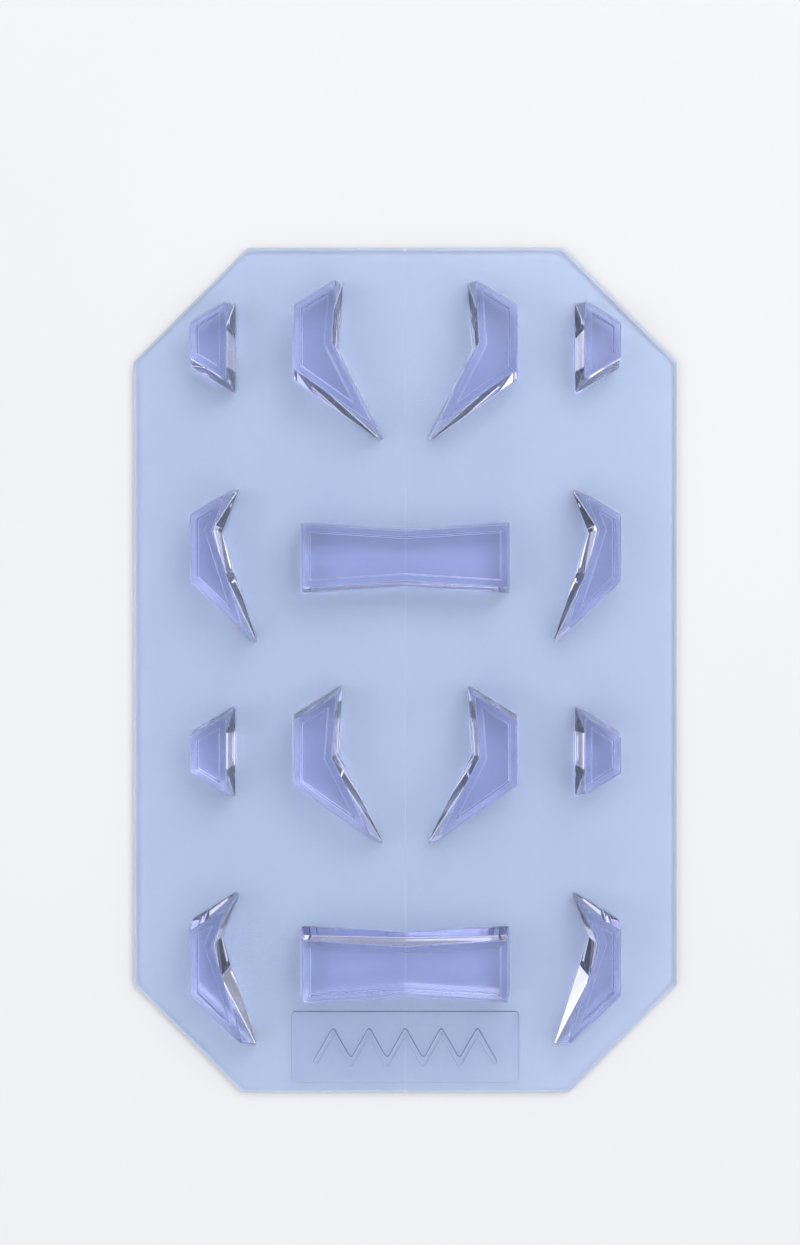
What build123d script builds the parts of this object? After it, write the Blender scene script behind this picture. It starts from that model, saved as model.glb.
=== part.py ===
"""Clear snowboard stomp pad.

A thin self-adhesive sheet with clipped corners carries fourteen raised traction bars,
a shallow name tablet and its emblem. An adhesive film lies under the sheet, and a
release liner in two halves covers the adhesive until the pad is stuck to a board.

Millimetres, +Z up. The origin is the middle of the underside of the liner. +Y points
to the front edge of the sheet, the one furthest from the tablet.
"""
import os

from build123d import *

os.makedirs("parts", exist_ok=True)

# Sheet
sheet_width = 114.3
sheet_length = 177.8
sheet_thickness = 1.2
sheet_corner_radius = 0.8
sheet_edge_rounding = 0.35
front_corner_clip = 24.0
rear_corner_clip = 22.7

# Adhesive film and release liner
adhesive_thickness = 0.2
adhesive_edge_margin = 0.6
liner_thickness = 0.2
liner_slit = 0.1

# Bars: what all fourteen share
bar_height = 8.0
wall_set_in = 0.86
foot_flare = 0.25
foot_land = 0.05
bar_corner_radius = 0.4
bar_edge_rounding = 0.25
rim_width = 1.35
recess_depth = 0.9
recess_wall_set_in = 0.15

# Where the bars stand on the sheet
side_margin = 12.35
front_margin = 7.2
rear_margin = 9.1
middle_gap_trim = 1.0

# Inner chevrons, beside the centre line
inner_chevron_width = 19.25
inner_chevron_length = 34.1
inner_chevron_centre_gap = 4.25
inner_chevron_tip_inset = 10.4
inner_chevron_tip_drop = 6.4
inner_chevron_side_length = 14.1
inner_chevron_notch_inset = 9.3
inner_chevron_notch_drop = 14.3

# Outer chevrons, along the sides
outer_chevron_width = 13.9
outer_chevron_length = 33.5
outer_chevron_tip_inset = 10.0
outer_chevron_tip_drop = 6.1
outer_chevron_side_length = 14.1
outer_chevron_notch_inset = 6.2
outer_chevron_notch_drop = 9.7

# Edge bars, beside the inner chevrons
edge_bar_width = 9.1
edge_bar_inner_length = 19.2
edge_bar_outer_length = 8.1
edge_bar_drop = 14.0

# Bow-tie bars, across the centre line
bow_tie_side_gap = 9.1
bow_tie_end_width = 14.75
bow_tie_waist_width = 12.0
bow_tie_drop = 14.9

# Name tablet and emblem
tablet_side_gap = 6.95
tablet_length = 15.0
tablet_height = 0.45
tablet_corner_radius = 1.0
tablet_edge_rounding = 0.2
tablet_rear_margin = 2.2
emblem_height = 0.4
emblem_peaks = 5
emblem_side_margin = 5.0
emblem_end_margin = 4.2
emblem_line_width = 1.1
emblem_edge_chamfer = 0.12

# Levels, from the underside of the liner up
adhesive_z = liner_thickness
sheet_z = adhesive_z + adhesive_thickness
bar_z = sheet_z + sheet_thickness
emblem_z = bar_z + tablet_height

# Rows: front inner, front outer, rear inner, rear outer
front_edge_y = sheet_length / 2
rear_edge_y = -sheet_length / 2
side_x = sheet_width / 2 - side_margin
spare_length = (
    sheet_length - front_margin - rear_margin
    - 2 * (inner_chevron_length + outer_chevron_length)
)
row_gap = (spare_length + middle_gap_trim) / 3
front_inner_y = front_edge_y - front_margin
front_outer_y = front_inner_y - inner_chevron_length - row_gap
rear_outer_y = rear_edge_y + rear_margin + outer_chevron_length
rear_inner_y = rear_outer_y + row_gap + inner_chevron_length
inner_side_x = inner_chevron_centre_gap + inner_chevron_width
chevron_foot_x = side_x - outer_chevron_width
bow_tie_half_length = chevron_foot_x - bow_tie_side_gap
tablet_width = 2 * (chevron_foot_x - tablet_side_gap)


def clipped_outline(margin):
    """Points of the sheet's eight-sided outline, drawn in by a margin."""
    x = sheet_width / 2 - margin
    y = sheet_length / 2 - margin
    # A parallel line drawn in by the margin shortens a 45 degree clip a little.
    clip_change = margin * (2 - 2 ** 0.5)
    front = front_corner_clip - clip_change
    rear = rear_corner_clip - clip_change
    return [
        (-x, y - front), (-x + front, y), (x - front, y), (x, y - front),
        (x, -y + rear), (x - rear, -y), (-x + rear, -y), (-x, -y + rear),
    ]


def chevron_outline(side, outer_x, tip_y, tip_inset, tip_drop, side_length,
                    notch_inset, notch_drop, width, length):
    """Points of a chevron whose straight side faces out; side is -1 left, 1 right."""
    side_top = tip_y - tip_drop
    return [
        (side * (outer_x - tip_inset), tip_y),
        (side * outer_x, side_top),
        (side * outer_x, side_top - side_length),
        (side * (outer_x - width), tip_y - length),
        (side * (outer_x - notch_inset), tip_y - notch_drop),
    ]


def inner_chevron_outline(side, tip_y):
    """Points of an inner chevron."""
    return chevron_outline(
        side, inner_side_x, tip_y, inner_chevron_tip_inset, inner_chevron_tip_drop,
        inner_chevron_side_length, inner_chevron_notch_inset, inner_chevron_notch_drop,
        inner_chevron_width, inner_chevron_length,
    )


def outer_chevron_outline(side, tip_y):
    """Points of an outer chevron."""
    return chevron_outline(
        side, side_x, tip_y, outer_chevron_tip_inset, outer_chevron_tip_drop,
        outer_chevron_side_length, outer_chevron_notch_inset, outer_chevron_notch_drop,
        outer_chevron_width, outer_chevron_length,
    )


def edge_bar_outline(side, row_y):
    """Points of an edge bar: a short side outboard, a long side inboard."""
    y = row_y - edge_bar_drop
    inner_x = side_x - edge_bar_width
    return [
        (side * side_x, y + edge_bar_outer_length / 2),
        (side * side_x, y - edge_bar_outer_length / 2),
        (side * inner_x, y - edge_bar_inner_length / 2),
        (side * inner_x, y + edge_bar_inner_length / 2),
    ]


def bow_tie_outline(row_y):
    """Points of a bow-tie bar: wide ends and a narrow waist."""
    y = row_y - bow_tie_drop
    x = bow_tie_half_length
    end = bow_tie_end_width / 2
    waist = bow_tie_waist_width / 2
    return [(-x, y + end), (0, y + waist), (x, y + end), (x, y - end), (0, y - waist), (-x, y - end)]


def export_piece(piece, name):
    """Label a finished piece and write it as its own STEP file."""
    piece.part.label = name
    export_step(piece.part, f"parts/{name}.step")


def bar_section(outline, z, growth=0.0, corners=Kind.INTERSECTION):
    """A bar's outline as a face at height z, grown outward (or inward, if negative)."""
    with BuildSketch(Plane.XY.offset(z)) as section:
        with BuildLine():
            Polyline(*outline, close=True)
        make_face()
        if growth:
            offset(amount=growth, kind=corners)
    return section.sketch


def make_bar(name, outline):
    """One traction bar: flared foot, drafted walls and a shallow recess in its top."""
    wall_z = bar_z + foot_flare
    top_z = bar_z + bar_height
    floor_z = top_z - recess_depth
    recess_set_in = wall_set_in + rim_width
    foot = bar_section(outline, bar_z, foot_flare, Kind.ARC)
    wall_foot = bar_section(outline, wall_z)
    wall_top = bar_section(outline, top_z, -wall_set_in)
    recess_top = bar_section(outline, top_z, -recess_set_in)
    recess_floor = bar_section(outline, floor_z, -recess_set_in - recess_wall_set_in)
    with BuildPart() as bar:
        extrude(foot, amount=foot_flare)
        chamfer(bar.faces().sort_by(Axis.Z)[-1].edges(), foot_flare - foot_land)
        loft((wall_foot, wall_top), ruled=True)
        upright = bar.edges().filter_by(lambda edge: edge.bounding_box().size.Z > bar_height / 2)
        fillet(upright, bar_corner_radius)
        fillet(bar.faces().sort_by(Axis.Z)[-1].edges(), bar_edge_rounding)
        loft((recess_top, recess_floor), ruled=True, mode=Mode.SUBTRACT)
    export_piece(bar, name)


def make_sheet():
    """The clear base sheet, with rounded upright corners and a rounded top rim."""
    with BuildPart() as sheet:
        with BuildSketch(Plane.XY.offset(sheet_z)) as outline:
            with BuildLine():
                Polyline(*clipped_outline(0), close=True)
            make_face()
            fillet(outline.vertices(), sheet_corner_radius)
        extrude(amount=sheet_thickness)
        top_face = sheet.faces().sort_by(Axis.Z)[-1]
        fillet(top_face.outer_wire().edges(), sheet_edge_rounding)
    export_piece(sheet, "base_sheet")


def make_adhesive():
    """The adhesive film, set in a little from the edge of the sheet."""
    with BuildPart() as adhesive:
        with BuildSketch(Plane.XY.offset(adhesive_z)) as outline:
            with BuildLine():
                Polyline(*clipped_outline(adhesive_edge_margin), close=True)
            make_face()
            fillet(outline.vertices(), sheet_corner_radius)
        extrude(amount=adhesive_thickness)
    export_piece(adhesive, "adhesive_film")


def make_liner_half(name, side):
    """Half of the release liner, from the slit on the centre line out to one side."""
    with BuildPart() as liner:
        with BuildSketch() as outline:
            with BuildLine():
                Polyline(*clipped_outline(0), close=True)
            make_face()
            fillet(outline.vertices(), sheet_corner_radius)
            with Locations((side * (liner_slit - sheet_width) / 2, 0)):
                Rectangle(sheet_width, sheet_length, mode=Mode.SUBTRACT)
        extrude(amount=liner_thickness)
    export_piece(liner, name)


def make_tablet():
    """The shallow name tablet near the rear edge."""
    tablet_y = rear_edge_y + tablet_rear_margin + tablet_length / 2
    with BuildPart() as tablet:
        with BuildSketch(Plane.XY.offset(bar_z)):
            with Locations((0, tablet_y)):
                RectangleRounded(tablet_width, tablet_length, tablet_corner_radius)
        extrude(amount=tablet_height)
        top_face = tablet.faces().sort_by(Axis.Z)[-1]
        fillet(top_face.outer_wire().edges(), tablet_edge_rounding)
    export_piece(tablet, "name_tablet")


def make_emblem():
    """A plain zigzag ridge line standing on the tablet."""
    tablet_y = rear_edge_y + tablet_rear_margin + tablet_length / 2
    length = tablet_width - 2 * emblem_side_margin
    rise = tablet_length - 2 * emblem_end_margin
    step = length / (2 * emblem_peaks)
    points = []
    for i in range(2 * emblem_peaks + 1):
        points.append((i * step - length / 2, tablet_y + rise * (i % 2 - 0.5)))
    with BuildPart() as emblem:
        with BuildSketch(Plane.XY.offset(emblem_z)):
            with BuildLine():
                ridge = Polyline(*points)
            trace(ridge, line_width=emblem_line_width)
        extrude(amount=emblem_height)
        chamfer(emblem.faces().sort_by(Axis.Z)[-1].edges(), emblem_edge_chamfer)
    export_piece(emblem, "tablet_emblem")


make_liner_half("liner_left", -1)
make_liner_half("liner_right", 1)
make_adhesive()
make_sheet()

for end, inner_y, outer_y in (
    ("front", front_inner_y, front_outer_y),
    ("rear", rear_inner_y, rear_outer_y),
):
    for hand, side in (("left", -1), ("right", 1)):
        make_bar(f"{end}_edge_bar_{hand}", edge_bar_outline(side, inner_y))
        make_bar(f"{end}_inner_chevron_{hand}", inner_chevron_outline(side, inner_y))
        make_bar(f"{end}_outer_chevron_{hand}", outer_chevron_outline(side, outer_y))
    make_bar(f"{end}_bow_tie_bar", bow_tie_outline(outer_y))

make_tablet()
make_emblem()
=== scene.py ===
"""Clear snowboard stomp pad: the looks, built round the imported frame.

Everything is in metres and in the frame's own axes: +Z up out of the bars, +Y to the front
edge, +X to the right. Every piece takes its place from the box of the node it stands for.
"""
import logging
import math
from dataclasses import dataclass
from enum import Enum
from typing import Any, Sequence

import bmesh
import bpy
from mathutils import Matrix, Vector


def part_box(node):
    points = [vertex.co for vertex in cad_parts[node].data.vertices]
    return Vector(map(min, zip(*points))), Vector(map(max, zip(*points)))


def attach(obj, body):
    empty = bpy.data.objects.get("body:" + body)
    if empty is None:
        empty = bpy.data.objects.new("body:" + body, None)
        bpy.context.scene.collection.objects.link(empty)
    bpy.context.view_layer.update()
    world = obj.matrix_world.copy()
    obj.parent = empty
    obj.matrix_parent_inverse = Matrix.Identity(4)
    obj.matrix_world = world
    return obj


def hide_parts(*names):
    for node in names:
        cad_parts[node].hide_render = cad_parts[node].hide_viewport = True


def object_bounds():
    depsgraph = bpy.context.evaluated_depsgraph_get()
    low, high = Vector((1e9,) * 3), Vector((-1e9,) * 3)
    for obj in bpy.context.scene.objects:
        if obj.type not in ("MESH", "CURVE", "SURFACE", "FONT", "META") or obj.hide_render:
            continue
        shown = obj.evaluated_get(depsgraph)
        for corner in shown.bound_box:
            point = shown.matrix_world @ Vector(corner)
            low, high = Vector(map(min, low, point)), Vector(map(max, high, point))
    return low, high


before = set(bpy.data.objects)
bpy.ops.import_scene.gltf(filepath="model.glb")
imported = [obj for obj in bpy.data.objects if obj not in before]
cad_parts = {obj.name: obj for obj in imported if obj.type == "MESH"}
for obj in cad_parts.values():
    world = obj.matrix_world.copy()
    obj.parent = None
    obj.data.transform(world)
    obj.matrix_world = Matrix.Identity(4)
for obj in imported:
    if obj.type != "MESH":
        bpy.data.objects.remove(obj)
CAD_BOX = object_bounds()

LOG = logging.getLogger("stomp_pad")
MM = 0.001
AIR_GAP = 0.02 * MM  # left between two clear pieces that lie face to face
PAD_BODY = "pad"
LARGEST_ARC_SHARE = 0.42  # of the shorter side that meets at a corner
LARGEST_SUPPORT_SHARE = 0.3  # of the straight stretch between two arcs
FLAT_FACE_WEIGHT = 90  # how strongly large flat faces set the shading of their edges

Point = tuple[float, float]
Band = tuple[float, float]
Colour = tuple[float, float, float]
Place = tuple[float, float, float]


# ---------------------------------------------------------------- outlines and skins


@dataclass(frozen=True)
class Ring:
    """One closed loop of a piece's skin.

    Attributes:
        offset: How far the sharp outline is drawn in (out, if negative).
        z: Height of the loop.
        convex: Radius of the corners that point outward.
        concave: Radius of the corners that point inward.
    """

    offset: float
    z: float
    convex: float
    concave: float


@dataclass(frozen=True)
class Outline:
    """A closed outline seen from above, with sharp corners, counter-clockwise.

    Attributes:
        points: The corners.
    """

    points: tuple[Point, ...]

    @classmethod
    def through(cls, points: Sequence[Point]) -> "Outline":
        """Makes an outline that runs counter-clockwise through the given corners.

        Args:
            points: The corners, in either direction.

        Returns:
            The outline.
        """
        twice_area = 0.0
        for (ax, ay), (bx, by) in zip(points, [*points[1:], points[0]]):
            twice_area += ax * by - bx * ay
        ordered = points if twice_area > 0 else list(reversed(points))
        return cls(tuple(ordered))

    def directions(self) -> list[Vector]:
        """Unit direction of the side that leaves each corner."""
        ends = [*self.points[1:], self.points[0]]
        return [(Vector(b) - Vector(a)).normalized() for a, b in zip(self.points, ends)]

    def drawn_in(self, distance: float) -> "Outline":
        """Moves every side inward, in parallel, and keeps the corners sharp.

        Args:
            distance: How far each side moves; negative moves it out.

        Returns:
            The new outline, with its corners in the same order.
        """
        leaving = self.directions()
        corners = []
        for i, point in enumerate(self.points):
            before, after = leaving[i - 1], leaving[i]
            normals = Vector((-before.y, before.x)) + Vector((-after.y, after.x))
            reach = 2 * distance / normals.length_squared
            corner = Vector(point) + normals * reach
            corners.append((corner.x, corner.y))
        return Outline(tuple(corners))

    def loop(self, ring: Ring, steps: int, support: float) -> list[Vector]:
        """Points of the outline at one ring, its corners rounded.

        Args:
            ring: Offset, height and corner radii.
            steps: Number of chords in each corner's arc.
            support: Distance from an arc's end to the extra point beyond it.

        Returns:
            The points; every ring of one outline has the same number of them.
        """
        sharp = self.drawn_in(ring.offset)
        leaving = sharp.directions()
        ends = [*sharp.points[1:], sharp.points[0]]
        lengths = [(Vector(b) - Vector(a)).length for a, b in zip(sharp.points, ends)]
        reaches, turns = [], []
        for i in range(len(sharp.points)):
            before, after = leaving[i - 1], leaving[i]
            turn = before.angle_signed(after)  # negative is a left turn
            radius = ring.convex if turn < 0 else ring.concave
            reach = radius * math.tan(abs(turn) / 2)
            reaches.append(min(reach, LARGEST_ARC_SHARE * min(lengths[i - 1], lengths[i])))
            turns.append(turn)
        loop: list[Vector] = []
        for i, point in enumerate(sharp.points):
            before, after, reach = leaving[i - 1], leaving[i], reaches[i]
            free_before = lengths[i - 1] - reaches[i - 1] - reach
            free_after = lengths[i] - reach - reaches[(i + 1) % len(reaches)]
            corner = Vector(point)
            beyond_before = min(support, LARGEST_SUPPORT_SHARE * free_before)
            beyond_after = min(support, LARGEST_SUPPORT_SHARE * free_after)
            loop.append(corner - before * (reach + beyond_before))
            loop += self.arc(corner, before, after, reach, turns[i], steps)
            loop.append(corner + after * (reach + beyond_after))
        return [Vector((p.x, p.y, ring.z)) for p in loop]

    @staticmethod
    def arc(corner: Vector, before: Vector, after: Vector, reach: float, turn: float,
            steps: int) -> list[Vector]:
        """Points of one corner's arc, from its first tangent point to its last.

        Args:
            corner: The sharp corner.
            before: Direction of travel up to the corner.
            after: Direction of travel beyond it.
            reach: Distance from the corner to each tangent point.
            turn: Signed angle between the two directions.
            steps: Number of chords.

        Returns:
            The points of the arc.
        """
        radius = reach / math.tan(abs(turn) / 2)
        side = 1 if turn < 0 else -1
        start = corner - before * reach
        centre = start + Vector((-before.y, before.x)) * (side * radius)
        spoke = start - centre
        points = []
        for k in range(steps + 1):
            angle = side * abs(turn) * k / steps
            cos, sin = math.cos(angle), math.sin(angle)
            turned = Vector((spoke.x * cos - spoke.y * sin, spoke.x * sin + spoke.y * cos))
            points.append(centre + turned)
        return points


def eased(steps: int) -> list[tuple[float, float]]:
    """(sine, 1 - cosine) of evenly spaced angles over a quarter turn, the first left out."""
    angles = [math.pi / 2 * k / steps for k in range(1, steps + 1)]
    return [(math.sin(a), 1 - math.cos(a)) for a in angles]


@dataclass(frozen=True)
class Skin:
    """A closed skin: a stack of rings round one outline, shut by a cap at each end.

    Attributes:
        outline: The outline that every ring follows.
        rings: The rings, from the lowest cap to the last one.
        corner_steps: Number of chords in each corner's arc.
        support: Distance from an arc's end to the extra point that keeps the side flat.
    """

    outline: Outline
    rings: tuple[Ring, ...]
    corner_steps: int = 6
    support: float = 0.25 * MM

    def build(self, name: str) -> bpy.types.Object:
        """Builds the mesh and its object.

        Args:
            name: Name of the new object.

        Returns:
            The object, linked to the scene and shaded smooth.
        """
        skin = bmesh.new()
        loops = []
        for ring in self.rings:
            points = self.outline.loop(ring, self.corner_steps, self.support)
            loops.append([skin.verts.new(p) for p in points])
        for low, high in zip(loops, loops[1:]):
            for i in range(len(low)):
                j = (i + 1) % len(low)
                skin.faces.new((low[i], low[j], high[j], high[i]))
        skin.faces.new(list(reversed(loops[0])))
        skin.faces.new(loops[-1])
        mesh = bpy.data.meshes.new(name)
        skin.to_mesh(mesh)
        skin.free()
        mesh.shade_smooth()
        piece = bpy.data.objects.new(name, mesh)
        bpy.context.scene.collection.objects.link(piece)
        weighted = piece.modifiers.new("flat_faces_stay_flat", "WEIGHTED_NORMAL")
        weighted.weight = FLAT_FACE_WEIGHT
        return piece


# ---------------------------------------------------------------- shader graphs


class Wire:
    """A value, colour or vector that leaves a shader node, used like a number."""

    def __init__(self, graph: "Graph", socket: bpy.types.NodeSocket) -> None:
        """Wraps one output socket of a graph's node."""
        self.graph = graph
        self.socket = socket

    def math(self, operation: str, *values: "Wire | float") -> "Wire":
        """Adds a Math node with the given operation."""
        inputs = dict(enumerate(values))
        return self.graph.node("ShaderNodeMath", {"operation": operation}, inputs)

    def __add__(self, other: "Wire | float") -> "Wire":
        """self + other."""
        return self.math("ADD", self, other)

    __radd__ = __add__

    def __sub__(self, other: "Wire | float") -> "Wire":
        """self - other."""
        return self.math("SUBTRACT", self, other)

    def __rsub__(self, other: "Wire | float") -> "Wire":
        """other - self."""
        return self.math("SUBTRACT", other, self)

    def __mul__(self, other: "Wire | float") -> "Wire":
        """self * other."""
        return self.math("MULTIPLY", self, other)

    __rmul__ = __mul__

    def __pow__(self, other: "Wire | float") -> "Wire":
        """self ** other."""
        return self.math("POWER", self, other)

    def within(self, low: float, high: float) -> "Wire":
        """A mask that rises smoothly between two values.

        Args:
            low: Where the mask is still 0.
            high: Where it has reached 1.

        Returns:
            The mask.
        """
        settings = {"interpolation_type": "SMOOTHSTEP"}
        inputs = {"Value": self, "From Min": low, "From Max": high}
        return self.graph.node("ShaderNodeMapRange", settings, inputs)


class Graph:
    """The node tree of one material or world."""

    def __init__(self, owner: bpy.types.Material | bpy.types.World) -> None:
        """Empties the owner's tree and gives it an output node.

        Args:
            owner: The material or world.
        """
        owner.use_nodes = True
        self.tree = owner.node_tree
        self.tree.nodes.clear()
        kind = "World" if isinstance(owner, bpy.types.World) else "Material"
        self.output = self.tree.nodes.new(f"ShaderNodeOutput{kind}")

    def node(self, kind: str, settings: dict[str, Any] | None = None,
             inputs: dict[str | int, Any] | None = None, output: str | int = 0) -> Wire:
        """Adds any node.

        Args:
            kind: The node's type.
            settings: Its properties, set before its sockets.
            inputs: Values or wires for its input sockets, by name or index.
            output: Name or index of the output that leaves it.

        Returns:
            The wire that leaves the node.
        """
        node = self.tree.nodes.new(kind)
        for key, value in (settings or {}).items():
            setattr(node, key, value)
        for key, value in (inputs or {}).items():
            if isinstance(value, Wire):
                self.tree.links.new(value.socket, node.inputs[key])
            else:
                node.inputs[key].default_value = value
        return Wire(self, node.outputs[output])

    def send(self, shader: Wire, socket: str) -> None:
        """Links a shader to a socket of the output."""
        self.tree.links.new(shader.socket, self.output.inputs[socket])

    def place(self) -> Wire:
        """Position on the piece, in the frame's metres."""
        return self.node("ShaderNodeTexCoord", output="Object")

    def height(self) -> Wire:
        """Height on the piece, in metres."""
        return self.node("ShaderNodeSeparateXYZ", inputs={0: self.place()}, output="Z")

    def steepness(self) -> Wire:
        """How steep the face is.

        Returns:
            0 on a level face and 1 on an upright one.
        """
        normal = self.node("ShaderNodeNewGeometry", output="Normal")
        upward = self.node("ShaderNodeSeparateXYZ", inputs={0: normal}, output="Z")
        return 1.0 - upward.math("ABSOLUTE", upward)

    def grain(self, per_metre: float, detail: float) -> Wire:
        """Noise from 0 to 1 with that many lumps to the metre."""
        inputs = {"Vector": self.place(), "Scale": per_metre, "Detail": detail}
        return self.node("ShaderNodeTexNoise", inputs=inputs)

    def tinted(self, factor: Wire, low: Colour | Wire, high: Colour) -> Wire:
        """Mixes two colours.

        Args:
            factor: 0 where the first colour shows and 1 where the second does.
            low: The first colour, plain or varied.
            high: The second colour.

        Returns:
            The mixed colour.
        """
        first = low if isinstance(low, Wire) else (*low, 1.0)
        inputs = {"Factor": factor, 6: first, 7: (*high, 1.0)}  # 6 and 7 are its colours
        return self.node("ShaderNodeMix", {"data_type": "RGBA"}, inputs, output=2)

    def bumped(self, height: Wire, depth: float, strength: float) -> Wire:
        """A normal tilted by a height that runs from 0 to depth metres."""
        inputs = {"Strength": strength, "Distance": depth, "Height": height}
        return self.node("ShaderNodeBump", inputs=inputs)

    def plastic(self, inputs: dict[str, Any]) -> None:
        """Sends a Principled shader to the surface output."""
        self.send(self.node("ShaderNodeBsdfPrincipled", inputs=inputs), "Surface")

    def absorb(self, colour: Colour, density: float) -> None:
        """Tints what passes through the piece, more where it is thicker."""
        inputs = {"Color": (*colour, 1.0), "Density": density}
        self.send(self.node("ShaderNodeVolumeAbsorption", inputs=inputs), "Volume")


# ---------------------------------------------------------------- finishes


@dataclass(frozen=True)
class ClearBarFinish:
    """Polished clear plastic with a violet tint that deepens with thickness.

    Attributes:
        top_z: Height of the bars' tops, where the scuffs are.
        clear: Colour of the skin.
        flowed: Its colour in the flow marks.
        absorbed: Colour that the thickness of the plastic tends to.
        density: How fast it tends to that colour, per metre.
        ior: Index of refraction.
        polish: Roughness where nothing has touched it.
        flow_marks_per_metre: Scale of the flow marks.
        flow_roughness: Roughness that the flow marks add.
        flow_depth: Depth of the flow marks.
        flow_strength: How strongly they bend the light.
        scuffs_per_metre: Scale of the scuffs.
        scuff_share: Levels of the grain between which a scuff begins.
        scuffed_above: Depths below the top between which the scuffs set in.
        scuffs: Roughness that a scuff adds.
        rounded: Steepnesses between which a face comes to count as a rounded edge.
        upright: Steepnesses between which it comes to count as a wall.
        edge_wear: Roughness that wear adds on the rounded edges.
    """

    top_z: float
    clear: Colour = (0.985, 0.985, 1.0)
    flowed: Colour = (0.955, 0.955, 1.0)
    absorbed: Colour = (0.28, 0.30, 0.995)
    density: float = 23.0
    ior: float = 1.49
    polish: float = 0.01
    flow_marks_per_metre: float = 110.0
    flow_roughness: float = 0.02
    flow_depth: float = 0.015 * MM
    flow_strength: float = 0.6
    scuffs_per_metre: float = 1800.0
    scuff_share: Band = (0.5, 0.68)
    scuffed_above: Band = (0.35 * MM, 0.05 * MM)
    scuffs: float = 0.14
    rounded: Band = (0.02, 0.15)
    upright: Band = (0.7, 0.85)
    edge_wear: float = 0.3

    def material(self) -> bpy.types.Material:
        """Makes the material.

        Returns:
            The material.
        """
        material = bpy.data.materials.new("clear_bar")
        g = Graph(material)
        flow = g.grain(self.flow_marks_per_metre, detail=0.0)
        scuffs = g.grain(self.scuffs_per_metre, detail=1.0).within(*self.scuff_share)
        deep, shallow = self.scuffed_above
        on_rim = g.height().within(self.top_z - deep, self.top_z - shallow)
        steep = g.steepness()
        worn = steep.within(*self.rounded) * (1.0 - steep.within(*self.upright))
        g.plastic({
            "Base Color": g.tinted(flow, self.clear, self.flowed),
            "Roughness": (self.polish + self.flow_roughness * flow
                          + self.scuffs * on_rim * scuffs + self.edge_wear * worn),
            "IOR": self.ior,
            "Transmission Weight": 1.0,
            "Normal": g.bumped(flow, self.flow_depth, self.flow_strength),
        })
        g.absorb(self.absorbed, self.density)
        return material


@dataclass(frozen=True)
class HazySheetFinish:
    """Clear plastic with a matte moulded grain and a pale blue tint; its steep edges carry
    painted shade.

    Attributes:
        name: Name of the material.
        clear: Colour of the face.
        clouded: Its colour in the clouds and pebbles of the grain.
        absorbed: Colour that the thickness of the plastic tends to.
        density: How fast it tends to that colour, per metre.
        ior: Index of refraction.
        clouds_per_metre: Scale of the soft clouds.
        pebbles_per_metre: Scale of the matte grain.
        matte: Roughness of the face.
        even_part: Part of that roughness that is the same all over.
        uneven_part: Part that the clouds and the pebbles each add at most.
        grain_depth: Depth of the matte grain.
        grain_strength: How strongly the grain bends the light.
        edge: Colour of the steep edges: painted shade, darker than the face, standing in for
            the dark lines that refraction shows along them.
        painted_shade_starts: Steepnesses between which the painted edge shade takes over.
    """

    name: str
    clear: Colour = (0.955, 0.965, 1.0)
    clouded: Colour = (0.89, 0.915, 0.99)
    absorbed: Colour = (0.12, 0.45, 0.99)
    density: float = 95.0
    ior: float = 1.49
    clouds_per_metre: float = 70.0
    pebbles_per_metre: float = 1500.0
    matte: float = 0.2
    even_part: float = 0.7
    uneven_part: float = 0.3
    grain_depth: float = 0.016 * MM
    grain_strength: float = 0.8
    # painted shade: the steep faces are darkened towards this colour in place of the dark
    # lines refraction shows there
    edge: Colour = (0.85, 0.88, 0.95)
    painted_shade_starts: Band = (0.03, 0.35)

    def material(self) -> bpy.types.Material:
        """Makes the material.

        Returns:
            The material.
        """
        material = bpy.data.materials.new(self.name)
        g = Graph(material)
        cloud = g.grain(self.clouds_per_metre, detail=0.0)
        pebble = g.grain(self.pebbles_per_metre, detail=1.0)
        face = g.tinted(0.5 * cloud + 0.5 * pebble, self.clear, self.clouded)
        # Painted shade: steep faces take the edge colour, standing in for the dark lines that
        # refraction shows along the edges.
        painted_edge_shade = g.steepness().within(*self.painted_shade_starts)
        unevenness = self.even_part + self.uneven_part * cloud + self.uneven_part * pebble
        g.plastic({
            "Base Color": g.tinted(painted_edge_shade, face, self.edge),
            "Roughness": self.matte * unevenness,
            "IOR": self.ior,
            "Transmission Weight": 1.0,
            "Normal": g.bumped(pebble, self.grain_depth, self.grain_strength),
        })
        g.absorb(self.absorbed, self.density)
        return material


@dataclass(frozen=True)
class TackyFilmFinish:
    """Clear adhesive, a little uneven where it was coated.

    Attributes:
        colour: Colour of the film.
        coated: Its colour in the dimples.
        opacity: How much of the light it stops.
        tack: Roughness between the dimples.
        dimples_per_metre: Scale of the dimples.
        dimple_roughness: Roughness that the dimples add.
        dimple_depth: Depth of the dimples.
        dimple_strength: How strongly they bend the light.
    """

    colour: Colour = (0.93, 0.95, 0.98)
    coated: Colour = (0.82, 0.86, 0.93)
    opacity: float = 0.05
    tack: float = 0.38
    dimples_per_metre: float = 400.0
    dimple_roughness: float = 0.2
    dimple_depth: float = 0.02 * MM
    dimple_strength: float = 0.5

    def material(self) -> bpy.types.Material:
        """Makes the material.

        Returns:
            The material.
        """
        material = bpy.data.materials.new("adhesive")
        g = Graph(material)
        dimples = g.grain(self.dimples_per_metre, detail=0.0)
        g.plastic({
            "Base Color": g.tinted(dimples, self.colour, self.coated),
            "Roughness": self.tack + self.dimple_roughness * dimples,
            "Alpha": self.opacity,
            "Normal": g.bumped(dimples, self.dimple_depth, self.dimple_strength),
        })
        return material


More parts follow.
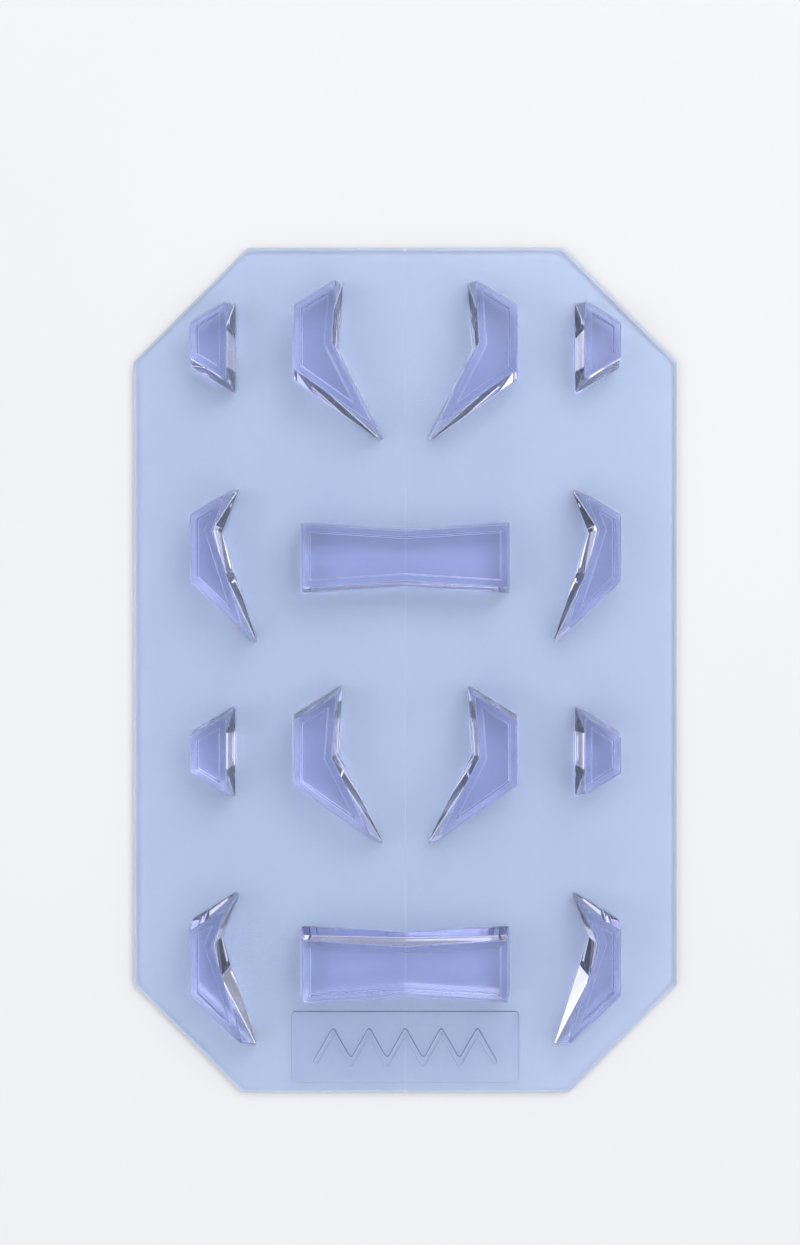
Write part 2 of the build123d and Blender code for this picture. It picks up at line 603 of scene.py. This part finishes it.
@dataclass(frozen=True)
class ReleaseFilmFinish:
    """Smooth pale blue release film with faint roller marks.

    Attributes:
        colour: Colour of the film.
        rolled: Its colour in the roller marks.
        opacity: How much of the light it stops.
        gloss: Roughness between the marks.
        waves_per_metre: Scale of the roller marks.
        wave_roughness: Roughness that the marks add.
        wave_depth: Depth of the marks.
        wave_strength: How strongly they bend the light.
    """

    colour: Colour = (0.66, 0.79, 0.95)
    rolled: Colour = (0.56, 0.71, 0.91)
    opacity: float = 0.14
    gloss: float = 0.12
    waves_per_metre: float = 90.0
    wave_roughness: float = 0.2
    wave_depth: float = 0.03 * MM
    wave_strength: float = 0.5

    def material(self) -> bpy.types.Material:
        """Makes the material.

        Returns:
            The material.
        """
        material = bpy.data.materials.new("release_film")
        g = Graph(material)
        waves = g.grain(self.waves_per_metre, detail=0.0)
        g.plastic({
            "Base Color": g.tinted(waves, self.colour, self.rolled),
            "Roughness": self.gloss + self.wave_roughness * waves,
            "Alpha": self.opacity,
            "Normal": g.bumped(waves, self.wave_depth, self.wave_strength),
        })
        return material


@dataclass(frozen=True)
class FloorFinish:
    """Plain pale matte board.

    Attributes:
        colour: Colour of the board.
        mottled: Its colour in the mottle.
        mottle_per_metre: Scale of the mottle.
        matte: Roughness between the mottle.
        mottle_roughness: Roughness that the mottle adds.
    """

    colour: Colour = (0.80, 0.80, 0.80)
    mottled: Colour = (0.77, 0.77, 0.775)
    mottle_per_metre: float = 9.0
    matte: float = 0.75
    mottle_roughness: float = 0.1

    def material(self) -> bpy.types.Material:
        """Makes the material.

        Returns:
            The material.
        """
        material = bpy.data.materials.new("studio_floor")
        g = Graph(material)
        mottle = g.grain(self.mottle_per_metre, detail=1.0)
        g.plastic({
            "Base Color": g.tinted(mottle, self.colour, self.mottled),
            "Roughness": self.matte + self.mottle_roughness * mottle,
        })
        return material


def install(piece: bpy.types.Object, material: bpy.types.Material, body: str,
            node: str) -> None:
    """Dresses a piece and puts it in the place of its node.

    Args:
        piece: The new object.
        material: Its finish.
        body: The body that it rides on.
        node: The node that it stands for.
    """
    piece.data.materials.append(material)
    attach(piece, body)
    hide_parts(node)
    LOG.info("%s: %d faces, rides on %s", piece.name, len(piece.data.polygons), body)


# ---------------------------------------------------------------- traction bars


class Hand(Enum):
    """Which side of the centre line a piece stands on."""

    LEFT = -1
    RIGHT = 1

    def sides(self, low: Vector, high: Vector) -> tuple[float, float]:
        """X of a box's outboard side and of its inboard side."""
        return (low.x, high.x) if self is Hand.LEFT else (high.x, low.x)


@dataclass(frozen=True)
class BarProfile:
    """Section of a bar's skin, the same for every bar.

    Attributes:
        flare: Height and spread of the fillet at the foot.
        wall_set_in: How far the drafted wall leans in from foot to top.
        corner_radius: Radius of the upright corners at the foot.
        top_rounding: Radius of the rounding from the wall onto the rim.
        rim_width: Width of the rim.
        rim_rounding: Radius of the rounding from the rim into the recess.
        recess_depth: Depth of the recess.
        recess_set_in: How far the recess wall leans in.
        recess_fillet: Radius of the fillet round the recess floor.
        recess_corner: Radius of the recess's corners.
        lip: Height of the upright lip under the flare, and the smallest corner radius.
        support: Distance from a rounding to the extra ring that keeps the face flat.
        steps: Number of chords in each rounding.
    """

    flare: float = 0.25 * MM
    wall_set_in: float = 0.86 * MM
    corner_radius: float = 0.4 * MM
    top_rounding: float = 0.28 * MM
    rim_width: float = 1.35 * MM
    rim_rounding: float = 0.12 * MM
    recess_depth: float = 0.9 * MM
    recess_set_in: float = 0.15 * MM
    recess_fillet: float = 0.18 * MM
    recess_corner: float = 0.15 * MM
    lip: float = 0.02 * MM
    support: float = 0.15 * MM
    steps: int = 4

    def rings(self, foot_z: float, top_z: float) -> tuple[Ring, ...]:
        """The rings of a bar, from the underside of its foot to the floor of its recess.

        Args:
            foot_z: Height of the sheet's face.
            top_z: Height of the bar's top.

        Returns:
            The rings, in order.
        """
        return (*self.foot(foot_z), *self.wall(foot_z, top_z), *self.recess(top_z))

    def outer(self, inset: float, z: float, parallel: float = 0.0) -> Ring:
        """A ring of the outside; parallel is the part of its offset that changes radii."""
        convex = max(self.corner_radius - parallel, self.lip)
        return Ring(inset + parallel, z, convex, self.corner_radius + parallel)

    def inner(self, offset: float, z: float) -> Ring:
        """A ring of the recess."""
        return Ring(offset, z, self.recess_corner, self.recess_corner)

    def set_in_at(self, z: float, foot_z: float, top_z: float) -> float:
        """How far the drafted wall stands in at a height."""
        wall_z = foot_z + self.flare
        return self.wall_set_in * (z - wall_z) / (top_z - wall_z)

    def foot(self, foot_z: float) -> list[Ring]:
        """The underside and the small fillet that spreads onto the sheet.

        Args:
            foot_z: Height of the sheet's face.

        Returns:
            The rings, from the underside up.
        """
        low = foot_z + AIR_GAP
        lip_z = low + self.lip
        rings = [self.outer(0.0, low, -self.flare), self.outer(0.0, lip_z, -self.flare)]
        rise = foot_z + self.flare - lip_z
        for sine, versine in eased(self.steps):
            rings.append(self.outer(0.0, lip_z + rise * versine, self.flare * (sine - 1)))
        return rings

    def wall(self, foot_z: float, top_z: float) -> list[Ring]:
        """The drafted wall and the rounding onto the rim.

        Args:
            foot_z: Height of the sheet's face.
            top_z: Height of the bar's top.

        Returns:
            The rings, from the foot up.
        """
        edge_z = top_z - self.top_rounding
        rings = []
        for z in (foot_z + self.flare + self.support, edge_z - self.support, edge_z):
            rings.append(self.outer(self.set_in_at(z, foot_z, top_z), z))
        set_in = self.set_in_at(edge_z, foot_z, top_z)
        for sine, versine in eased(self.steps):
            z = edge_z + self.top_rounding * sine
            rings.append(self.outer(set_in, z, self.top_rounding * versine))
        flat = self.top_rounding + self.support
        rings.append(self.outer(set_in, top_z, flat))
        return rings

    def recess(self, top_z: float) -> list[Ring]:
        """The rim's inner edge, the recess wall and its fillet onto the floor.

        Args:
            top_z: Height of the bar's top.

        Returns:
            The rings, from the rim down.
        """
        mouth = self.wall_set_in + self.rim_width
        edge = mouth - self.rim_rounding
        floor_z = top_z - self.recess_depth
        rings = [self.inner(edge - self.support, top_z), self.inner(edge, top_z)]
        for sine, versine in eased(self.steps):
            z = top_z - self.rim_rounding * versine
            rings.append(self.inner(edge + self.rim_rounding * sine, z))
        foot = mouth + self.recess_set_in
        rings.append(self.inner(foot, floor_z + self.recess_fillet))
        for sine, versine in eased(self.steps):
            z = floor_z + self.recess_fillet * (1 - sine)
            rings.append(self.inner(foot + self.recess_fillet * versine, z))
        flat = foot + self.recess_fillet + self.support
        rings.append(self.inner(flat, floor_z))
        return rings


@dataclass(frozen=True)
class TractionBar:
    """Any bar: its place comes from its node's box and its outline from its kind.

    Attributes:
        node: The node that it stands for.
        profile: Its section.
    """

    node: str
    profile: BarProfile

    def foot_box(self) -> tuple[Vector, Vector]:
        """The node's box without the flare of its foot.

        Returns:
            Its lowest and its highest corner.
        """
        low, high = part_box(self.node)
        flare = Vector((self.profile.flare, self.profile.flare, 0.0))
        return low + flare, high - flare

    def outline(self) -> Outline:
        """The bar's outline at its foot."""
        raise NotImplementedError

    def build(self, material: bpy.types.Material) -> None:
        """Builds the bar and puts it on the pad.

        Args:
            material: The bars' finish.
        """
        low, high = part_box(self.node)
        skin = Skin(self.outline(), self.profile.rings(low.z, high.z))
        piece = skin.build(f"{self.node}_moulding")
        install(piece, material, PAD_BODY, self.node)


@dataclass(frozen=True)
class EdgeBar(TractionBar):
    """Small trapezoid beside an inner chevron; its short side faces out.

    Attributes:
        hand: The side of the centre line that it stands on.
        outer_length: Length of the short side.
    """

    hand: Hand
    outer_length: float = 8.1 * MM

    def outline(self) -> Outline:
        """Four corners: a short side outboard, a long side inboard.

        Returns:
            The outline.
        """
        low, high = self.foot_box()
        outer, inner = self.hand.sides(low, high)
        middle = (low.y + high.y) / 2
        half = self.outer_length / 2
        return Outline.through([
            (outer, middle + half), (outer, middle - half), (inner, low.y), (inner, high.y),
        ])


@dataclass(frozen=True)
class Chevron(TractionBar):
    """Chevron with a straight side outboard and a notch inboard.

    Attributes:
        hand: The side of the centre line that it stands on.
        tip_inset: Distance of the tip from the straight side.
        tip_drop: How far the straight side starts behind the tip.
        side_length: Length of the straight side.
        notch_inset: Distance of the notch from the straight side.
        notch_drop: How far the notch lies behind the tip.
    """

    hand: Hand
    tip_inset: float
    tip_drop: float
    side_length: float
    notch_inset: float
    notch_drop: float

    def outline(self) -> Outline:
        """Five corners: tip, two ends of the straight side, foot and notch.

        Returns:
            The outline.
        """
        low, high = self.foot_box()
        outer, inner = self.hand.sides(low, high)
        inward = -self.hand.value
        side_top = high.y - self.tip_drop
        return Outline.through([
            (outer + inward * self.tip_inset, high.y),
            (outer, side_top),
            (outer, side_top - self.side_length),
            (inner, low.y),
            (outer + inward * self.notch_inset, high.y - self.notch_drop),
        ])


@dataclass(frozen=True)
class BowTieBar(TractionBar):
    """Bar across the centre line, narrower at its waist."""

    waist_width: float = 12.0 * MM

    def outline(self) -> Outline:
        """Six corners: four at the ends and two at the waist.

        Returns:
            The outline.
        """
        low, high = self.foot_box()
        across, along = (low.x + high.x) / 2, (low.y + high.y) / 2
        waist = self.waist_width / 2
        return Outline.through([
            (low.x, high.y), (across, along + waist), (high.x, high.y),
            (high.x, low.y), (across, along - waist), (low.x, low.y),
        ])


@dataclass(frozen=True)
class BarSet:
    """All fourteen bars: two alike groups, each mirrored about the centre line."""

    profile: BarProfile = BarProfile()

    def bars(self) -> list[TractionBar]:
        """The bars of both groups.

        Returns:
            The bars, from the front group to the rear one.
        """
        found: list[TractionBar] = []
        for end in ("front", "rear"):
            for hand in Hand:
                word = hand.name.lower()
                found.append(EdgeBar(f"{end}_edge_bar_{word}", self.profile, hand))
                found.append(Chevron(
                    f"{end}_inner_chevron_{word}", self.profile, hand, tip_inset=10.4 * MM,
                    tip_drop=6.4 * MM, side_length=14.1 * MM, notch_inset=9.3 * MM,
                    notch_drop=14.3 * MM,
                ))
                found.append(Chevron(
                    f"{end}_outer_chevron_{word}", self.profile, hand, tip_inset=10.0 * MM,
                    tip_drop=6.1 * MM, side_length=14.1 * MM, notch_inset=6.2 * MM,
                    notch_drop=9.7 * MM,
                ))
            found.append(BowTieBar(f"{end}_bow_tie_bar", self.profile))
        return found

    def build(self) -> None:
        """Builds every bar in one shared finish."""
        top_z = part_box("front_bow_tie_bar")[1].z
        material = ClearBarFinish(top_z).material()
        for bar in self.bars():
            bar.build(material)


# ---------------------------------------------------------------- sheet and layers


@dataclass(frozen=True)
class SlabProfile:
    """Section of a flat piece: upright edge, rounded at the bottom and at the top.

    Attributes:
        top_rounding: Radius of the top edge.
        bottom_rounding: Radius of the bottom edge.
        corner_radius: Radius of the upright corners.
        support: Distance from a rounding to the extra ring that keeps the face flat.
        steps: Number of chords in each rounding.
        sharpest: Smallest corner radius.
    """

    top_rounding: float
    bottom_rounding: float
    corner_radius: float
    support: float = 0.3 * MM
    steps: int = 4
    sharpest: float = 0.02 * MM

    def ring(self, offset: float, z: float) -> Ring:
        """A ring at an offset, with its corners concentric."""
        convex = max(self.corner_radius - offset, self.sharpest)
        return Ring(offset, z, convex, self.corner_radius + offset)

    def rings(self, low: float, high: float) -> tuple[Ring, ...]:
        """The rings of a slab, from its underside to its top.

        Args:
            low: Height of the underside.
            high: Height of the top.

        Returns:
            The rings, in order.
        """
        below, above = self.bottom_rounding, self.top_rounding
        rings = [self.ring(below + self.support, low), self.ring(below, low)]
        for sine, versine in eased(self.steps):
            rings.append(self.ring(below * (1 - sine), low + below * versine))
        rings.append(self.ring(0.0, high - above))
        for sine, versine in eased(self.steps):
            rings.append(self.ring(above * versine, high - above * (1 - sine)))
        rings.append(self.ring(above + self.support, high))
        return tuple(rings)


@dataclass(frozen=True)
class ClippedShape:
    """The pad's eight-sided outline: a rectangle with its four corners clipped."""

    front_clip: float = 24.0 * MM
    rear_clip: float = 22.7 * MM

    def outline(self, node: str, full_node: str = "base_sheet") -> Outline:
        """The outline of one flat piece.

        Args:
            node: The piece, whose box gives its size.
            full_node: The piece whose clips are the stated ones.

        Returns:
            The outline; the clips shrink with the margin between the two pieces.
        """
        low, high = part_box(node)
        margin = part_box(full_node)[1].y - high.y
        change = margin * (2 - math.sqrt(2))
        front, rear = self.front_clip - change, self.rear_clip - change
        return Outline.through([
            (low.x, high.y - front), (low.x + front, high.y),
            (high.x - front, high.y), (high.x, high.y - front),
            (high.x, low.y + rear), (high.x - rear, low.y),
            (low.x + rear, low.y), (low.x, low.y + rear),
        ])

    def half_outline(self, node: str, hand: Hand) -> Outline:
        """The outline of the half that reaches from the centre line to one side.

        Args:
            node: The piece, whose box gives its size.
            hand: The side that it reaches to.

        Returns:
            The outline.
        """
        low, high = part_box(node)
        outer, inner = hand.sides(low, high)
        inward = -hand.value
        return Outline.through([
            (inner, high.y), (outer + inward * self.front_clip, high.y),
            (outer, high.y - self.front_clip), (outer, low.y + self.rear_clip),
            (outer + inward * self.rear_clip, low.y), (inner, low.y),
        ])


@dataclass(frozen=True)
class BaseSheet:
    """The clear sheet that carries the bars."""

    shape: ClippedShape = ClippedShape()
    profile: SlabProfile = SlabProfile(0.35 * MM, 0.1 * MM, 0.8 * MM)

    def build(self, material: bpy.types.Material) -> None:
        """Builds the sheet.

        Args:
            material: The sheet's finish.
        """
        low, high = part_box("base_sheet")
        rings = self.profile.rings(low.z + AIR_GAP, high.z)
        piece = Skin(self.shape.outline("base_sheet"), rings).build("clear_sheet")
        install(piece, material, PAD_BODY, "base_sheet")


@dataclass(frozen=True)
class NameTablet:
    """The shallow tablet and the plain zigzag line that stands on it.

    Attributes:
        tablet: Section of the tablet.
        ridge: Section of the zigzag's ridge.
        peaks: Number of peaks in the zigzag.
        line_width: Width of its line.
        fitting_rounds: Rounds in which its line is fitted to its box.
    """

    tablet: SlabProfile = SlabProfile(0.2 * MM, 0.02 * MM, 1.0 * MM, support=0.2 * MM)
    ridge: SlabProfile = SlabProfile(0.36 * MM, 0.02 * MM, 0.4 * MM, support=0.05 * MM)
    peaks: int = 5
    line_width: float = 1.1 * MM
    fitting_rounds: int = 12

    def build(self, material: bpy.types.Material) -> None:
        """Builds the tablet and its zigzag.

        Args:
            material: The finish of both.
        """
        low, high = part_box("name_tablet")
        corners = [(low.x, low.y), (high.x, low.y), (high.x, high.y), (low.x, high.y)]
        rings = self.tablet.rings(low.z + AIR_GAP, high.z)
        piece = Skin(Outline.through(corners), rings).build("tablet_moulding")
        install(piece, material, PAD_BODY, "name_tablet")
        low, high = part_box("tablet_emblem")
        rings = self.ridge.rings(low.z + AIR_GAP, high.z)
        piece = Skin(self.zigzag(low, high), rings, corner_steps=3).build("zigzag_emblem")
        install(piece, material, PAD_BODY, "tablet_emblem")

    def zigzag(self, low: Vector, high: Vector) -> Outline:
        """Outline of a zigzag line that fills a box.

        Args:
            low: Lowest corner of the box.
            high: Highest corner of the box.

        Returns:
            The outline.
        """
        half = self.line_width / 2
        legs = 2 * self.peaks
        step, rise = self.fitted_leg(high.x - low.x, high.y - low.y)
        middle = (low.y + high.y) / 2
        centre = (low.x + high.x) / 2
        spine = [(centre + (i - self.peaks) * step, middle + rise * (i % 2 - 0.5))
                 for i in range(legs + 1)]
        lean = math.hypot(step, rise)
        mitre = half * lean / step
        side_x, side_y = half * rise / lean, half * step / lean
        upper = [(spine[0][0] - side_x, spine[0][1] + side_y)]
        lower = [(spine[0][0] + side_x, spine[0][1] - side_y)]
        for x, y in spine[1:-1]:
            upper.append((x, y + mitre))
            lower.append((x, y - mitre))
        upper.append((spine[-1][0] + side_x, spine[-1][1] + side_y))
        lower.append((spine[-1][0] - side_x, spine[-1][1] - side_y))
        return Outline.through([*lower, *reversed(upper)])

    def fitted_leg(self, length: float, height: float) -> tuple[float, float]:
        """Fits one leg of the zigzag's middle line.

        The line's own width reaches past its middle line, as mitres at the peaks and as
        square ends at the sides, and both depend on the leg's slope.

        Args:
            length: Length of the box that the whole line fills.
            height: Its height.

        Returns:
            The leg's step along the box and its rise across it.
        """
        legs = 2 * self.peaks
        step, rise = length / legs, height
        for _ in range(self.fitting_rounds):
            lean = math.hypot(step, rise)
            rise = height - self.line_width * lean / step
            step = (length - self.line_width * rise / lean) / legs
        return step, rise


@dataclass(frozen=True)
class AdhesiveFilm:
    """The clear adhesive under the sheet."""

    shape: ClippedShape = ClippedShape()
    profile: SlabProfile = SlabProfile(0.04 * MM, 0.04 * MM, 0.8 * MM)

    def build(self) -> None:
        """Builds the film, a hair clear of the sheet and of the liner."""
        low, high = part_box("adhesive_film")
        rings = self.profile.rings(low.z + AIR_GAP, high.z - AIR_GAP)
        piece = Skin(self.shape.outline("adhesive_film"), rings).build("tacky_film")
        install(piece, TackyFilmFinish().material(), PAD_BODY, "adhesive_film")


@dataclass(frozen=True)
class ReleaseLiner:
    """Both halves of the release liner."""

    shape: ClippedShape = ClippedShape()
    profile: SlabProfile = SlabProfile(0.05 * MM, 0.05 * MM, 0.8 * MM)

    def build(self) -> None:
        """Builds each half on the body that it peels off with."""
        material = ReleaseFilmFinish().material()
        for hand in Hand:
            node = f"liner_{hand.name.lower()}"
            low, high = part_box(node)
            rings = self.profile.rings(low.z, high.z - AIR_GAP)
            outline = self.shape.half_outline(node, hand)
            piece = Skin(outline, rings).build(f"release_film_{hand.name.lower()}")
            install(piece, material, node, node)


# ---------------------------------------------------------------- studio


@dataclass(frozen=True)
class SoftBox:
    """One large soft lamp.

    Attributes:
        name: Name of the lamp.
        place: Where it hangs.
        size: Its width and length.
        power: Its power in watts.
        aim: The point that it faces.
        colour: Colour of its light.
    """

    name: str
    place: Place
    size: tuple[float, float]
    power: float
    aim: Place = (0.0, 0.0, 0.0)
    colour: Colour = (1.0, 1.0, 1.0)

    def build(self) -> None:
        """Hangs the lamp and turns it to what it lights."""
        lamp = bpy.data.lights.new(self.name, "AREA")
        lamp.shape = "RECTANGLE"
        lamp.size, lamp.size_y = self.size
        lamp.energy = self.power
        lamp.color = self.colour
        holder = bpy.data.objects.new(self.name, lamp)
        holder.location = self.place
        towards = Vector(self.aim) - Vector(self.place)
        holder.rotation_euler = towards.to_track_quat("-Z", "Y").to_euler()
        bpy.context.scene.collection.objects.link(holder)


@dataclass(frozen=True)
class Studio:
    """Pale floor, soft lamps and the camera straight above the pad.

    Attributes:
        lamps: The soft lamps.
        floor_half: Half of the floor's side.
        floor_squares: Squares along the floor's side.
        floor_drop: How far the floor lies below the pad.
        camera_above_sheet: Height of the camera above the sheet's face.
        camera_left_of_middle: How far left of the pad's middle it hangs.
        camera_ahead_of_middle: How far in front of the pad's middle it hangs.
        view_length: Length of the view at the sheet's face.
        sensor: Width of the camera's sensor in millimetres.
        nearest_seen: Distance at which the camera starts to see.
        room_low: Light of the room at the horizon.
        room_high: Light of the room overhead.
        rise_power: How late the light rises between them.
        dim_way: Direction of the dim part of the ceiling.
        dim_edge: Cosines of the angles from there between which it ends.
        dimming: Part of the light that is missing there.
        clear_bounces: Number of surfaces that light is followed through.
        film_bounces: Number of films that light is followed through.
    """

    lamps: tuple[SoftBox, ...] = (
        SoftBox("key_box", place=(0.45, 0.8, 1.0), size=(0.8, 0.7), power=5.5),
        SoftBox("left_box", place=(-1.0, -0.2, 1.1), size=(0.5, 0.8), power=3.0),
        SoftBox("right_box", place=(1.0, -0.3, 1.2), size=(0.4, 0.6), power=1.6),
    )
    floor_half: float = 3.0
    floor_squares: int = 8
    floor_drop: float = 0.1 * MM
    camera_above_sheet: float = 258 * MM
    camera_left_of_middle: float = 1.1 * MM
    camera_ahead_of_middle: float = 10.0 * MM
    view_length: float = 261.9 * MM
    sensor: float = 36.0
    nearest_seen: float = 0.01
    room_low: Colour = (0.22, 0.22, 0.225)
    room_high: Colour = (1.72, 1.76, 1.82)
    rise_power: float = 2.0
    dim_way: Place = (-0.16, -0.05, 0.986)
    dim_edge: Band = (0.88, 0.95)
    dimming: float = 0.85
    clear_bounces: int = 24
    film_bounces: int = 16

    def build(self) -> None:
        """Builds the whole studio."""
        self.build_floor()
        self.light()
        self.build_camera()
        cycles = bpy.context.scene.cycles
        cycles.max_bounces = self.clear_bounces
        cycles.transmission_bounces = self.clear_bounces
        cycles.transparent_max_bounces = self.film_bounces
        cycles.blur_glossy = 0.0  # keeps the light that comes back up through the clear parts
        bpy.context.scene.view_settings.view_transform = "Standard"

    def build_floor(self) -> None:
        """Lays the floor just under the pad."""
        board = bmesh.new()
        bmesh.ops.create_grid(
            board, x_segments=self.floor_squares, y_segments=self.floor_squares,
            size=self.floor_half,
        )
        bmesh.ops.translate(board, verts=board.verts, vec=(0.0, 0.0, -self.floor_drop))
        mesh = bpy.data.meshes.new("studio_floor")
        board.to_mesh(mesh)
        board.free()
        mesh.materials.append(FloorFinish().material())
        floor = bpy.data.objects.new("studio_floor", mesh)
        bpy.context.scene.collection.objects.link(floor)

    def light(self) -> None:
        """Hangs the lamps and sets the light of the room."""
        for lamp in self.lamps:
            lamp.build()
        world = bpy.data.worlds.new("studio_room")
        bpy.context.scene.world = world
        g = Graph(world)
        way = g.node("ShaderNodeTexCoord", output="Generated")
        height = g.node("ShaderNodeSeparateXYZ", inputs={0: way}, output="Z")
        towards = {0: way, 1: self.dim_way}
        turned = g.node("ShaderNodeVectorMath", {"operation": "DOT_PRODUCT"}, towards, "Value")
        dim = self.dimming * turned.within(*self.dim_edge)
        bright = height ** self.rise_power * (1.0 - dim)
        colour = g.tinted(bright, self.room_low, self.room_high)
        g.send(g.node("ShaderNodeBackground", inputs={"Color": colour}), "Surface")

    def build_camera(self) -> None:
        """Hangs the camera straight above the pad, a little ahead of its middle."""
        low, high = CAD_BOX
        sheet_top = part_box("base_sheet")[1].z
        lens = bpy.data.cameras.new("camera")
        lens.sensor_width = self.sensor
        lens.lens = self.sensor * self.camera_above_sheet / self.view_length
        lens.clip_start = self.nearest_seen
        camera = bpy.data.objects.new("camera", lens)
        camera.location = (
            (low.x + high.x) / 2 - self.camera_left_of_middle,
            (low.y + high.y) / 2 + self.camera_ahead_of_middle,
            sheet_top + self.camera_above_sheet,
        )
        bpy.context.scene.collection.objects.link(camera)
        bpy.context.scene.camera = camera


def main() -> None:
    """Builds the studio and every piece, in order."""
    logging.basicConfig(level=logging.INFO, format="%(name)s: %(message)s")
    Studio().build()
    ReleaseLiner().build()
    AdhesiveFilm().build()
    sheet_material = HazySheetFinish("hazy_sheet").material()
    BaseSheet().build(sheet_material)
    BarSet().build()
    # The tablet's steep edges get a near-black edge colour: painted shade for the thin dark
    # outline round it.
    tablet = HazySheetFinish(
        "clear_tablet", clear=(0.99, 0.99, 1.0), clouded=(0.97, 0.975, 1.0), density=40.0,
        matte=0.06, grain_depth=0.004 * MM, edge=(0.08, 0.12, 0.25),
    )
    NameTablet().build(tablet.material())


if __name__ == "__main__":
    main()
